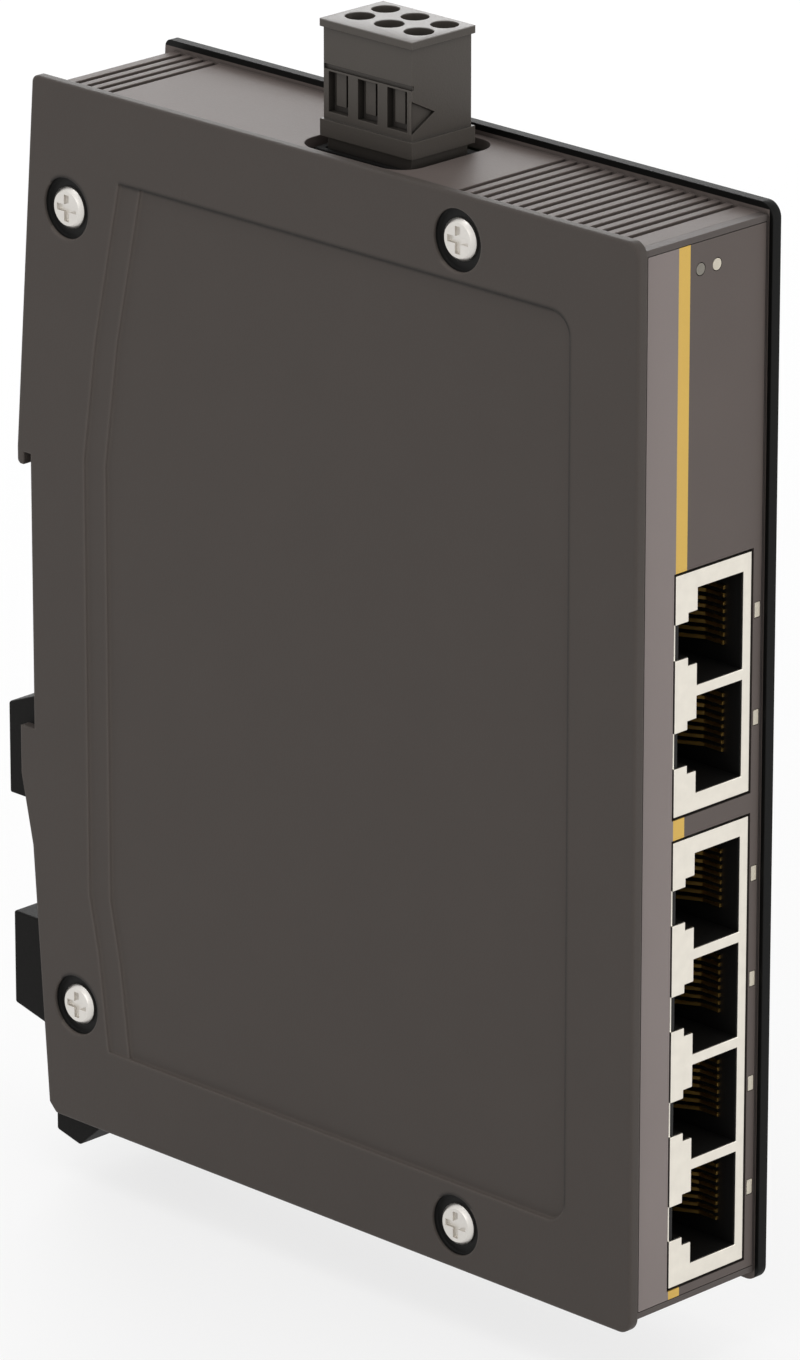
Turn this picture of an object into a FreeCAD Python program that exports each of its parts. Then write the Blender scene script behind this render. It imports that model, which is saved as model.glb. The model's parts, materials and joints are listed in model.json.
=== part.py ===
import FreeCAD, Part
import os
import Sketcher

# A slim Ethernet switch for a 35 mm DIN rail, in millimetres.
#
# X runs across the case from the screwed cover (-X) to the fixed side (+X).
# Y runs from the port side (-Y) to the rail side (+Y), Z is up.
# The origin is where the rail seats: mid width, on the rail plane, at the
# rail's centre line.

SIZES = {
    # case
    "case_width": 25.0,
    "case_height": 141.0,
    "rail_to_top": 68.7,
    "front_reach": 106.3,
    "cover_thickness": 1.5,
    "plate_thickness": 1.5,
    "wall": 1.5,
    "rim": 1.4,
    "front_inset": 0.8,
    "corner_radius": 2.0,
    "rear_corner_radius": 1.0,
    "top_setback": 1.2,
    "foot_setback": 1.9,
    "fit_gap": 0.1,
    # rail seat
    "rail_width": 35.0,
    "rail_sheet": 1.0,
    "rail_slack": 0.5,
    "rail_slot_gap": 0.3,
    "hook_reach": 2.6,
    "hook_grip": 1.2,
    "hook_shoulder": 1.1,
    "lug_drop": 2.0,
    "lug_height": 6.5,
    "lug_taper": 9.4,
    "lug_heel": 0.6,
    "channel_depth": 4.0,
    "channel_head": 12.0,
    # cover panel and screws
    "panel_front_margin": 11.4,
    "panel_top_margin": 11.2,
    "panel_bottom_margin": 11.6,
    "panel_rear_margin": 10.0,
    "panel_top_cut": 6.9,
    "panel_bottom_cut": 3.3,
    "panel_step": 3.6,
    "panel_depth": 0.3,
    "panel_radius": 3.0,
    "panel_bevel": 0.25,
    "rear_screw_inset": 7.2,
    "rear_screw_margin": 16.4,
    "front_screw_inset": 30.2,
    "front_screw_margin": 5.9,
    "boss_radius": 3.1,
    "cover_screw_radius": 1.45,
    "cover_screw_length": 7.0,
    "cover_head_radius": 2.75,
    "cover_head_height": 0.8,
    "cover_head_dome": 0.5,
    "counterbore_radius": 4.0,
    "counterbore_depth": 0.9,
    "drive_depth": 0.5,
    "drive_width": 0.9,
    # ribs on the top and bottom walls
    "rib_pitch": 2.0,
    "rib_groove": 0.9,
    "rib_depth": 0.45,
    "front_ribbed_length": 30.6,
    "rear_ribbed_length": 8.4,
    "rib_first": 3.4,
    # front panel
    "panel_thickness": 1.5,
    "port_gap": 0.35,
    "label_thickness": 0.2,
    "label_margin": 0.8,
    # network jacks
    "port_pitch": 13.97,
    "port_end": 1.6,
    "quad_rise": 33.3,
    "double_rise": 48.4,
    "jack_left_inset": 15.6,
    "jack_right_inset": 2.1,
    "jack_depth": 16.4,
    "shield_sheet": 0.3,
    "port_mouth": 12.6,
    "port_right_inset": 3.5,
    "port_left_inset": 11.7,
    "port_shoulder_inset": 13.3,
    "shoulder_mouth": 6.8,
    "notch_mouth": 4.6,
    "notch_end_inset": 14.8,
    "port_depth": 12.4,
    "contact_pitch": 1.02,
    "contact_width": 0.45,
    "contact_thickness": 0.3,
    "contact_rise": 3.2,
    "contact_foot": 3.0,
    "contact_length": 6.2,
    "lip_return": 1.6,
    # board
    "board_face_inset": 3.0,
    "board_thickness": 1.6,
    "board_front_gap": 3.6,
    "board_rear": 11.0,
    "board_edge": 4.5,
    "board_screw_radius": 1.2,
    "board_screw_length": 3.6,
    "board_head_radius": 2.3,
    "board_head_height": 1.5,
    "board_screw_inset": 4.5,
    "board_screw_reach": 18.0,
    "standoff_radius": 2.6,
    "post_gap": 0.4,
    "film_thickness": 0.3,
    # power terminal
    "opening_margin": 1.0,
    "power_y": -52.5,
    "pole_pitch": 5.08,
    "plug_width": 10.4,
    "plug_top": 82.9,
    "plug_seat": 67.9,
    "plug_lip": 0.35,
    "plug_lip_height": 1.0,
    "nose_width": 9.8,
    "nose_length": 9.6,
    "nose_gap": 0.25,
    "header_wall": 1.0,
    "header_top_drop": 0.9,
    "header_floor": 2.6,
    "opening_side": 3.6,
    "opening_end": 1.9,
    "opening_radius": 3.6,
    "pin_size": 1.0,
    "pin_reach": 7.2,
    "wire_row": -1.4,
    "screw_row": 3.1,
    "wire_hole_radius": 1.9,
    "wire_hole_depth": 8.6,
    "clamp_height": 4.6,
    "terminal_screw_radius": 1.7,
    "terminal_screw_drop": 1.2,
    "window_width": 3.4,
    "window_height": 5.2,
    "window_depth": 1.1,
    "window_sill": 3.2,
    # rail latch
    "latch_gap": 0.3,
    "latch_thickness": 2.4,
    "catch_reach": 6.8,
    "catch_grip": 1.9,
    "catch_ramp": 2.2,
    "catch_height": 14.8,
    "guard_top": 46.8,
    "guard_height": 12.9,
    "guard_reach": 6.4,
    "foot_drop": 4.3,
    "foot_length": 8.2,
    "foot_slot": 1.6,
    "latch_window_top": 31.5,
    "latch_window_height": 14.5,
    "post_half_width": 2.0,
    "post_barb": 0.6,
    "post_height": 2.0,
    "spring_wire": 0.5,
    "spring_radius": 1.2,
    "spring_turns": 6.0,
    # lights
    "port_light_inset": 1.0,
    "port_light_rise": 0.8,
    "port_light_width": 0.9,
    "port_light_height": 1.9,
    "status_light_drop": 5.7,
    "status_light_first_inset": 11.9,
    "status_light_pitch": 2.9,
    "status_light_radius": 0.75,
    # heat spreader on the switch chip
    "sink_side": 22.0,
    "sink_base": 2.0,
    "sink_height": 7.6,
    "sink_fin": 1.0,
    "sink_fin_pitch": 4.2,
    "transformer_pitch": 12.573,
    "capacitor_pitch": 14.0,
}

# Parts that stand on the board: how far back from the jacks and how high over
# the rail's centre line their middle is, then length back, length up and height.
BOARD_PARTS = {
    "port_transformers": (9.0, 0.0, 12.8, 17.0, 5.6),
    "switch_chip": (31.0, -20.0, 20.0, 20.0, 1.4),
    "clock_crystal": (31.0, 2.0, 11.4, 4.8, 3.6),
    "memory_chip": (49.0, -20.0, 5.0, 6.2, 1.6),
    "regulator_chip": (55.1, 30.0, 9.2, 10.0, 4.4),
    "power_inductor": (55.1, 12.0, 12.0, 12.0, 6.0),
    "bulk_capacitors": (67.1, 6.0, 10.0, 10.0, 12.0),
    "input_fuse": (17.1, 46.0, 10.0, 4.0, 4.0),
    "input_rectifier": (37.1, 42.0, 8.5, 6.5, 2.6),
    "surge_absorber": (17.1, 38.0, 10.0, 5.0, 8.0),
}
for part, values in BOARD_PARTS.items():
    for measure, value in zip(("back", "up", "length", "width", "height"), values):
        SIZES[f"{part}_{measure}"] = value

doc = FreeCAD.newDocument("EthernetSwitch")
PARTS = []


class Size:
    """A length that carries its number and the sheet formula it comes from."""

    def __init__(self, number, formula):
        self.number = number
        self.formula = formula

    def __add__(self, other):
        other = as_size(other)
        return Size(self.number + other.number, f"({self.formula} + {other.formula})")

    def __radd__(self, other):
        return as_size(other) + self

    def __sub__(self, other):
        other = as_size(other)
        return Size(self.number - other.number, f"({self.formula} - {other.formula})")

    def __rsub__(self, other):
        return as_size(other) - self

    def __mul__(self, factor):
        return Size(self.number * factor, f"({self.formula} * {factor})")

    def __rmul__(self, factor):
        return self * factor

    def __truediv__(self, divisor):
        return Size(self.number / divisor, f"({self.formula} / {divisor})")

    def __neg__(self):
        return Size(-self.number, f"(0 - {self.formula})")


def as_size(value):
    if isinstance(value, Size):
        return value
    return Size(float(value), f"({float(value)})")


class Sizes:
    """The spreadsheet's cells as Size values, by alias."""

    def __init__(self, sheet):
        self.sheet = sheet

    def __getattr__(self, alias):
        return Size(float(self.sheet.get(alias)), f"Sizes.{alias}")


def make_sheet():
    sheet = doc.addObject("Spreadsheet::Sheet", "Sizes")
    for row, (alias, value) in enumerate(SIZES.items(), start=1):
        sheet.set(f"A{row}", alias)
        sheet.set(f"B{row}", str(value))
        sheet.setAlias(f"B{row}", alias)
    doc.recompute()
    return sheet


S = Sizes(make_sheet())


# ---------------------------------------------------------------- helpers

def link(item, prop, value):
    item.setExpression(prop, as_size(value).formula)


def finished(item, label):
    """Names a sub-part and puts it on the list of pieces to write."""
    item.Label = label
    PARTS.append(item)
    return item


def block(name, x_range, y_range, z_range):
    """A box between two values on each axis."""
    box = doc.addObject("Part::Box", name)
    ranges = {"x": x_range, "y": y_range, "z": z_range}
    for axis, prop in (("x", "Length"), ("y", "Width"), ("z", "Height")):
        low, high = ranges[axis]
        link(box, prop, as_size(high) - low)
        link(box, f"Placement.Base.{axis}", low)
    return box


TURNS = {
    "x": FreeCAD.Rotation(FreeCAD.Vector(0, 1, 0), 90),
    "y": FreeCAD.Rotation(FreeCAD.Vector(1, 0, 0), -90),
    "z": FreeCAD.Rotation(),
}


def rod(name, along, start, end, radius, **centre):
    """A cylinder along one axis; centre gives its place on the other two."""
    cylinder = doc.addObject("Part::Cylinder", name)
    cylinder.Placement = FreeCAD.Placement(FreeCAD.Vector(), TURNS[along])
    link(cylinder, "Radius", radius)
    link(cylinder, "Height", as_size(end) - start)
    link(cylinder, f"Placement.Base.{along}", start)
    for axis, value in centre.items():
        link(cylinder, f"Placement.Base.{axis}", value)
    return cylinder


def fuse(name, items):
    result = doc.addObject("Part::MultiFuse", name)
    result.Shapes = items
    result.Refine = True
    return result


def cut(name, base, tools):
    result = doc.addObject("Part::Cut", name)
    result.Base = base
    result.Tool = tools[0] if len(tools) == 1 else fuse(f"{name}_tools", tools)
    return result


def group(name, shapes):
    """Like pieces that share one node, as separate solids."""
    result = doc.addObject("Part::Feature", name)
    result.Shape = Part.makeCompound(shapes)
    result.Placement = FreeCAD.Placement()
    return finished(result, name)


def moved(item, x=0.0, y=0.0, z=0.0):
    """A copy of an item's solid, shifted."""
    doc.recompute()
    solid = item.Shape.Solids[0].copy()
    solid.translate(FreeCAD.Vector(x, y, z))
    return solid


def new_body(name):
    return doc.addObject("PartDesign::Body", name)


def plane_of(body, role):
    for feature in body.Origin.OriginFeatures:
        if feature.Role == role:
            return feature
    raise ValueError(role)


def new_sketch(body, role, offset, name):
    """A sketch on one of the body's origin planes, lifted along its normal."""
    sketch = body.newObject("Sketcher::SketchObject", name)
    sketch.AttachmentSupport = [(plane_of(body, role), "")]
    sketch.MapMode = "FlatFace"
    link(sketch, "AttachmentOffset.Base.z", offset)
    return sketch


def place_point(sketch, geometry, point, u, v):
    """Ties a point to the sketch's origin by its two distances."""
    for kind, value in (("DistanceX", as_size(u)), ("DistanceY", as_size(v))):
        index = sketch.addConstraint(
            Sketcher.Constraint(kind, -1, 1, geometry, point, value.number))
        sketch.setExpression(f"Constraints[{index}]", value.formula)


def draw_outline(sketch, corners):
    """A closed straight-sided outline through the corners."""
    points = [FreeCAD.Vector(as_size(u).number, as_size(v).number, 0) for u, v in corners]
    count = len(points)
    first = sketch.GeometryCount
    for i in range(count):
        sketch.addGeometry(Part.LineSegment(points[i], points[(i + 1) % count]), False)
    for i in range(count):
        following = first + (i + 1) % count
        sketch.addConstraint(Sketcher.Constraint("Coincident", first + i, 2, following, 1))
    for i, (u, v) in enumerate(corners):
        place_point(sketch, first + i, 1, u, v)


def draw_circle(sketch, u, v, radius):
    u, v, radius = as_size(u), as_size(v), as_size(radius)
    centre = FreeCAD.Vector(u.number, v.number, 0)
    normal = FreeCAD.Vector(0, 0, 1)
    index = sketch.addGeometry(Part.Circle(centre, normal, radius.number), False)
    place_point(sketch, index, 3, u, v)
    tie = sketch.addConstraint(Sketcher.Constraint("Radius", index, radius.number))
    sketch.setExpression(f"Constraints[{tie}]", radius.formula)


def rectangle(u_range, v_range):
    (u0, u1), (v0, v1) = u_range, v_range
    return [(u0, v0), (u1, v0), (u1, v1), (u0, v1)]


def pad(body, sketch, length, name, backwards=False):
    feature = body.newObject("PartDesign::Pad", name)
    feature.Profile = sketch
    link(feature, "Length", length)
    feature.Reversed = backwards
    return feature


def pocket(body, sketch, depth, name, backwards=False):
    """Cuts against the sketch's normal, or along it when backwards."""
    doc.recompute()
    before = body.Shape.Volume
    feature = body.newObject("PartDesign::Pocket", name)
    feature.Profile = sketch
    link(feature, "Length", depth)
    feature.Reversed = backwards
    doc.recompute()
    if not body.Shape.Volume < before - 1e-6:
        raise RuntimeError(f"{name} cuts nothing")
    return feature


def repeat(body, feature, axis, length, count, name):
    """Copies a feature in a row along one of the body's axes."""
    pattern = body.newObject("PartDesign::LinearPattern", name)
    pattern.Originals = [feature]
    pattern.Direction = (plane_of(body, axis), [""])
    link(pattern, "Length", length)
    pattern.Occurrences = count
    body.Tip = pattern
    return pattern


def edges_where(shape, test):
    """Names of the straight or round edges whose midpoint passes the test."""
    names = []
    for index, edge in enumerate(shape.Edges, start=1):
        middle = edge.valueAt((edge.FirstParameter + edge.LastParameter) / 2)
        if test(edge, middle):
            names.append(f"Edge{index}")
    return names


def near(a, b, tolerance=0.01):
    return abs(a - as_size(b).number) < tolerance


def runs_along(edge, axis):
    start = edge.valueAt(edge.FirstParameter)
    end = edge.valueAt(edge.LastParameter)
    way = end - start
    others = [abs(getattr(way, name)) for name in "xyz" if name != axis]
    return max(others) < 1e-6 and abs(getattr(way, axis)) > 1e-6


def soften(body, kind, base, size, test, name):
    """A fillet or chamfer on the edges that pass the test."""
    doc.recompute()
    feature = body.newObject(f"PartDesign::{kind}", name)
    feature.Base = (base, edges_where(base.Shape, test))
    link(feature, "Radius" if kind == "Fillet" else "Size", size)
    return feature


# ---------------------------------------------------------- shared places

left = -S.case_width / 2
right = S.case_width / 2
cover_face = left + S.cover_thickness
plate_face = right - S.plate_thickness
top = S.rail_to_top
bottom = S.rail_to_top - S.case_height
front = -S.front_reach
face = front + S.front_inset
panel_back = face + S.panel_thickness
wall_top = top - S.rim
wall_bottom = bottom + S.rim
rail_edge = S.rail_width / 2
channel_floor = -S.channel_depth
jack_left = plate_face - S.jack_left_inset
jack_right = plate_face - S.jack_right_inset
port_right = plate_face - S.port_right_inset
port_left = plate_face - S.port_left_inset
port_shoulder = plate_face - S.port_shoulder_inset
notch_end = plate_face - S.notch_end_inset
board_face = plate_face - S.board_face_inset
port_light_x = plate_face - S.port_light_inset
status_light_first = plate_face - S.status_light_first_inset
power_x = plate_face - S.opening_margin - S.plug_width / 2 - S.opening_side
quad_centre = bottom + S.quad_rise
double_centre = quad_centre + S.double_rise
status_light_z = top - S.status_light_drop
board_back = board_face + S.board_thickness
board_front = front + S.board_front_gap

COVER_SCREWS = [
    (-S.rear_screw_inset, top - S.rear_screw_margin),
    (-S.rear_screw_inset, bottom + S.rear_screw_margin),
    (front + S.front_screw_inset, top - S.front_screw_margin),
    (front + S.front_screw_inset, bottom + S.front_screw_margin),
]
BOARD_SCREWS = [
    (board_front + S.board_screw_reach, top - S.board_edge - S.board_screw_inset),
    (board_front + S.board_screw_reach, bottom + S.board_edge + S.board_screw_inset),
    (-S.board_rear - S.board_screw_inset, top - S.board_edge - S.board_screw_inset),
    (-S.board_rear - S.board_screw_inset, bottom + S.board_edge + S.board_screw_inset),
]
JACKS = {
    "double": (double_centre, 2),
    "quad": (quad_centre, 4),
}


def hook_outline():
    """The rail hook: a lip behind a slot for the rail's upper edge."""
    slot = S.rail_sheet + S.rail_slot_gap
    tip = rail_edge - S.hook_grip
    return [
        (S.hook_reach, rail_edge + S.hook_shoulder),
        (S.hook_reach, tip + S.hook_grip / 2),
        (S.hook_reach - S.hook_grip / 2, tip),
        (slot, tip),
        (slot, rail_edge + S.rail_slack),
        (0, rail_edge + S.rail_slack),
    ]


def side_outline():
    """Both side plates: rail hook, seat and lower lug on the rear edge."""
    lug_top = -rail_edge - S.lug_drop
    lug_base = lug_top - S.lug_height
    return [
        (front, bottom),
        (front, top),
        (-S.top_setback, top),
    ] + hook_outline() + [
        (0, lug_top),
        (S.hook_reach, lug_top),
        (S.hook_reach, lug_base),
        (S.lug_heel, lug_base - S.lug_taper),
        (-S.foot_setback, bottom + S.rim),
        (-S.foot_setback - S.rim, bottom),
    ]


def wall_outline():
    """The walls between the plates: top, leaning rear, latch channel, bottom."""
    rear_top = -S.top_setback - S.rim
    hook_back = S.hook_reach - S.rim
    hook_top = rail_edge + S.hook_shoulder
    return [
        (panel_back, wall_top),
        (rear_top, wall_top),
        (hook_back, hook_top),
    ] + hook_outline() + [
        (0, -S.channel_head),
        (channel_floor, -S.channel_head),
        (channel_floor, wall_bottom),
        (panel_back, wall_bottom),
        (panel_back, wall_bottom + S.wall),
        (channel_floor - S.wall, wall_bottom + S.wall),
        (channel_floor - S.wall, -S.channel_head + S.wall),
        (-S.wall, -S.channel_head + S.wall),
        (-S.wall, hook_top),
        (rear_top - S.wall, wall_top - S.wall),
        (panel_back, wall_top - S.wall),
    ]


def round_plate(body, base, name):
    """Rounds a side plate's corners."""
    def front_corner(edge, middle):
        return runs_along(edge, "x") and near(middle.y, front) and (
            near(middle.z, top) or near(middle.z, bottom))

    def rear_corner(edge, middle):
        return runs_along(edge, "x") and near(middle.y, -S.top_setback) and near(middle.z, top)

    step = soften(body, "Fillet", base, S.corner_radius, front_corner, f"{name}_front_corners")
    return soften(body, "Fillet", step, S.rear_corner_radius, rear_corner, f"{name}_rear_corner")


# ------------------------------------------------------------- the housing

def housing_shell():
    """Fixed side plate with the walls, bosses and latch post moulded on it."""
    body = new_body("HousingShell")
    outline = new_sketch(body, "YZ_Plane", plate_face, "PlateOutline")
    draw_outline(outline, side_outline())
    plate = pad(body, outline, S.plate_thickness, "Plate")
    doc.recompute()
    round_plate(body, plate, "Plate")

    inner = plate_face - cover_face
    walls = new_sketch(body, "YZ_Plane", cover_face, "WallOutline")
    draw_outline(walls, wall_outline())
    pad(body, walls, inner, "Walls")

    posts = new_sketch(body, "YZ_Plane", cover_face, "ScrewPosts")
    for y, z in COVER_SCREWS:
        draw_circle(posts, y, z, S.boss_radius)
    pad(body, posts, inner, "Posts")

    standoffs = new_sketch(body, "YZ_Plane", board_back, "StandoffCircles")
    for y, z in BOARD_SCREWS:
        draw_circle(standoffs, y, z, S.standoff_radius)
    pad(body, standoffs, plate_face - board_back, "Standoffs")

    latch_post(body)

    pilots = new_sketch(body, "YZ_Plane", cover_face, "ScrewPilots")
    for y, z in COVER_SCREWS:
        draw_circle(pilots, y, z, S.cover_screw_radius)
    pocket(body, pilots, S.cover_screw_length, "Pilots", backwards=True)

    seats = new_sketch(body, "YZ_Plane", board_back, "BoardPilots")
    for y, z in BOARD_SCREWS:
        draw_circle(seats, y, z, S.board_screw_radius)
    pocket(body, seats, S.board_screw_length - S.board_thickness, "BoardScrewHoles", backwards=True)

    terminal_opening(body)
    ribs(body, "top")
    ribs(body, "bottom")
    return finished(body, "housing_shell")


def latch_post(body):
    """Barbed post in the latch channel: it holds the latch and the spring."""
    post_top = -S.latch_window_top - S.latch_window_height + S.post_height + S.latch_gap
    post = new_sketch(body, "XY_Plane", post_top, "PostOutline")
    stem = S.post_half_width
    barb = stem + S.post_barb
    latch_back = channel_floor + S.latch_gap + S.latch_thickness
    neck = latch_back + S.latch_gap / 2
    draw_outline(post, [
        (-stem, channel_floor - S.wall / 2), (stem, channel_floor - S.wall / 2), (stem, neck),
        (barb, neck), (stem, neck + S.post_barb), (-stem, neck + S.post_barb),
        (-barb, neck), (-stem, neck)])
    pad(body, post, S.post_height, "LatchPost", backwards=True)


def terminal_opening(body):
    """Round-cornered opening in the top wall for the power plug."""
    half_x = S.plug_width / 2 + S.opening_side
    half_y = S.pole_pitch * 1.5 + S.opening_end
    sketch = new_sketch(body, "XY_Plane", wall_top, "PlugOpening")
    corners = rectangle((power_x - half_x, power_x + half_x),
                        (S.power_y - half_y, S.power_y + half_y))
    draw_outline(sketch, corners)
    opening = pocket(body, sketch, S.wall, "PlugCut")

    def corner(edge, middle):
        return runs_along(edge, "z") and middle.z > (wall_top - S.wall).number - 0.01 and (
            near(abs(middle.x - power_x.number), half_x)
            and near(abs(middle.y - S.power_y.number), half_y))

    soften(body, "Fillet", opening, S.opening_radius, corner, "PlugOpeningCorners")


def ribs(body, side):
    """Two fields of grooves across the top or bottom wall."""
    upwards = side == "top"
    level = wall_top if upwards else wall_bottom
    rear_end = -S.top_setback - S.rim if upwards else channel_floor
    fields = (
        ("Front", panel_back + S.rib_first, S.front_ribbed_length),
        ("Rear", rear_end - S.rear_ribbed_length, S.rear_ribbed_length),
    )
    for field, start, length in fields:
        name = f"{side.title()}{field}"
        sketch = new_sketch(body, "XY_Plane", level, f"{name}Groove")
        draw_outline(sketch, rectangle((cover_face, plate_face), (start, start + S.rib_groove)))
        groove = pocket(body, sketch, S.rib_depth, f"{name}Cut", backwards=not upwards)
        count = int(length.number / S.rib_pitch.number)
        repeat(body, groove, "Y_Axis", S.rib_pitch * (count - 1), count, f"{name}Ribs")


def panel_outline(inset):
    """The cover's sunk panel: its rear side bows out between the rear screws."""
    rear = -S.panel_rear_margin - inset
    high = top - S.panel_top_margin
    low = bottom + S.panel_bottom_margin
    upper = top - S.rear_screw_margin * 2
    lower = bottom + S.rear_screw_margin * 2
    return [
        (front + S.panel_front_margin, low),
        (front + S.panel_front_margin, high),
        (rear - S.panel_top_cut, high),
        (rear - S.panel_top_cut / 3, upper),
        (rear, upper - S.rear_screw_margin),
        (rear, lower),
        (rear - S.panel_bottom_cut / 2, lower - S.rear_screw_margin / 2),
        (rear - S.panel_bottom_cut, low),
    ]


def side_cover():
    """Removable plate: sunk panel in two steps and four screw seats."""
    body = new_body("SideCover")
    outline = new_sketch(body, "YZ_Plane", left, "CoverOutline")
    draw_outline(outline, side_outline())
    plate = pad(body, outline, S.cover_thickness, "Cover")
    doc.recompute()
    round_plate(body, plate, "Cover")

    for step, inset in enumerate((as_size(0), S.panel_step)):
        level = left + S.panel_depth * step
        sketch = new_sketch(body, "YZ_Plane", level, f"PanelOutline{step}")
        draw_outline(sketch, panel_outline(inset))
        sunk = pocket(body, sketch, S.panel_depth, f"Panel{step}", backwards=True)

    def panel_corner(edge, middle):
        return runs_along(edge, "x") and near(middle.y, front + S.panel_front_margin)

    soften(body, "Fillet", sunk, S.panel_radius, panel_corner, "PanelCorners")

    seats = new_sketch(body, "YZ_Plane", left, "ScrewSeats")
    for y, z in COVER_SCREWS:
        draw_circle(seats, y, z, S.counterbore_radius)
    pocket(body, seats, S.counterbore_depth, "Seats", backwards=True)
    holes = new_sketch(body, "YZ_Plane", left, "ScrewHoles")
    for y, z in COVER_SCREWS:
        draw_circle(holes, y, z, S.cover_screw_radius + S.fit_gap)
    last = pocket(body, holes, S.cover_thickness, "Holes", backwards=True)

    def outer_rim(edge, middle):
        return near(middle.x, left) and (
            near(middle.y, front) or near(middle.z, top) or near(middle.z, bottom))

    soften(body, "Chamfer", last, S.panel_bevel, outer_rim, "CoverBevel")
    return finished(body, "side_cover")


def turned_screw(name, head, shank_radius, length):
    """A screw along X, its seat at X = 0; head is its profile from the axis out."""
    body = new_body(name)
    profile = new_sketch(body, "XY_Plane", 0, f"{name}Profile")
    draw_outline(profile, head + [(0, shank_radius), (length, shank_radius), (length, 0)])
    turned = body.newObject("PartDesign::Revolution", f"{name}Turned")
    turned.Profile = profile
    turned.ReferenceAxis = (profile, ["H_Axis"])
    turned.Angle = 360
    return body


def cross_drive(body, level, reach):
    """Cross recess in a screw head."""
    half = S.drive_width / 2
    spans = ((-half, half), (-reach, reach))
    for index, (across, along) in enumerate((spans, spans[::-1])):
        cross = new_sketch(body, "YZ_Plane", level, f"Drive{index}")
        draw_outline(cross, rectangle(across, along))
        pocket(body, cross, S.drive_depth, f"Cut{index}", backwards=True)


def cover_screws():
    """Pan heads with a cross recess, sunk in the cover."""
    high, wide = S.cover_head_height, S.cover_head_radius
    head = [(-high, 0), (-high, wide - S.cover_head_dome), (S.cover_head_dome - high, wide), (0, wide)]
    screw = turned_screw("CoverScrew", head, S.cover_screw_radius - S.fit_gap / 2,
                         S.cover_screw_length)
    cross_drive(screw, -high, wide - S.cover_head_dome * 2)
    seat = left + S.counterbore_depth
    return group("cover_screws", [
        moved(screw, seat.number, y.number, z.number) for y, z in COVER_SCREWS])


# ---------------------------------------------------------- the front side

def jack_span(name):
    """Lower and upper end of a row of ports."""
    centre, count = JACKS[name]
    half = S.port_pitch * (count / 2) + S.port_end
    return centre - half, centre + half


def port_heights(name):
    centre, count = JACKS[name]
    return [centre + S.port_pitch * (i - (count - 1) / 2) for i in range(count)]


def port_lights():
    """Centre heights of the lights beside the ports."""
    return [z + S.port_light_rise for name in JACKS for z in port_heights(name)]


def status_lights():
    return [status_light_first, status_light_first + S.status_light_pitch]


def front_openings(sketch, gap):
    for name in JACKS:
        low, high = jack_span(name)
        draw_outline(sketch, rectangle((jack_left - gap, jack_right + gap),
                                       (low - gap, high + gap)))
    half_x = S.port_light_width / 2 + S.fit_gap
    half_z = S.port_light_height / 2 + S.fit_gap
    for z in port_lights():
        draw_outline(sketch, rectangle((port_light_x - half_x, port_light_x + half_x),
                                       (z - half_z, z + half_z)))
    for x in status_lights():
        draw_circle(sketch, x, status_light_z, S.status_light_radius + S.fit_gap)


def label_range():
    return ((cover_face + S.label_margin, plate_face - S.label_margin / 4),
            (wall_bottom + S.label_margin, wall_top - S.label_margin))


def front_panel():
    """Front wall with the port openings and a shallow seat for the label."""
    body = new_body("FrontPanel")
    outline = new_sketch(body, "XZ_Plane", -face, "PanelOutline")
    draw_outline(outline, rectangle((cover_face + S.fit_gap / 2, plate_face - S.fit_gap / 2),
                                    (wall_bottom, wall_top)))
    pad(body, outline, S.panel_thickness, "Panel", backwards=True)
    seat = new_sketch(body, "XZ_Plane", -face, "LabelSeat")
    draw_outline(seat, rectangle(*label_range()))
    pocket(body, seat, S.label_thickness, "LabelRecess")
    holes = new_sketch(body, "XZ_Plane", -face, "PanelOpenings")
    front_openings(holes, S.port_gap)
    pocket(body, holes, S.panel_thickness, "Openings")
    return finished(body, "front_panel")


def front_label():
    """Printed film in the panel's seat."""
    body = new_body("FrontLabel")
    outline = new_sketch(body, "XZ_Plane", -face, "LabelOutline")
    (x0, x1), (z0, z1) = label_range()
    play = S.fit_gap
    draw_outline(outline, rectangle((x0 + play, x1 - play), (z0 + play, z1 - play)))
    pad(body, outline, S.label_thickness, "Label", backwards=True)
    holes = new_sketch(body, "XZ_Plane", -face, "LabelOpenings")
    front_openings(holes, S.port_gap)
    pocket(body, holes, S.label_thickness, "LabelHoles")
    return finished(body, "front_label")


def port_profile(z, end):
    """A modular jack's mouth: wide for the plug, stepped in for its latch."""
    mouth = S.port_mouth / 2
    shoulder = S.shoulder_mouth / 2
    notch = S.notch_mouth / 2
    return [
        (port_right, z - mouth), (port_right, z + mouth), (port_left, z + mouth),
        (port_left, z + shoulder), (port_shoulder, z + shoulder), (port_shoulder, z + notch),
        (end, z + notch), (end, z - notch), (port_shoulder, z - notch),
        (port_shoulder, z - shoulder), (port_left, z - shoulder), (port_left, z - mouth),
    ]


def jack_body(name):
    """Black insulator with one stepped socket per port."""
    low, high = jack_span(name)
    centre, count = JACKS[name]
    sheet = S.shield_sheet
    body = new_body(f"JackBody{name.title()}")
    outline = new_sketch(body, "XY_Plane", low + sheet, f"{name}BodyOutline")
    start = face + sheet
    board_side = board_front - S.board_front_gap / 6
    draw_outline(outline, [
        (jack_left + sheet, start), (jack_right - sheet, start),
        (jack_right - sheet, board_side), (board_face, board_side),
        (board_face, face + S.jack_depth - sheet), (jack_left + sheet, face + S.jack_depth - sheet)])
    pad(body, outline, high - low - sheet * 2, f"{name}Block")
    mouth = new_sketch(body, "XZ_Plane", -start, f"{name}Mouth")
    draw_outline(mouth, port_profile(port_heights(name)[0], notch_end))
    socket = pocket(body, mouth, S.port_depth, f"{name}Socket")
    repeat(body, socket, "Z_Axis", S.port_pitch * (count - 1), count, f"{name}Sockets")
    return finished(body, f"jack_body_{name}")


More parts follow.
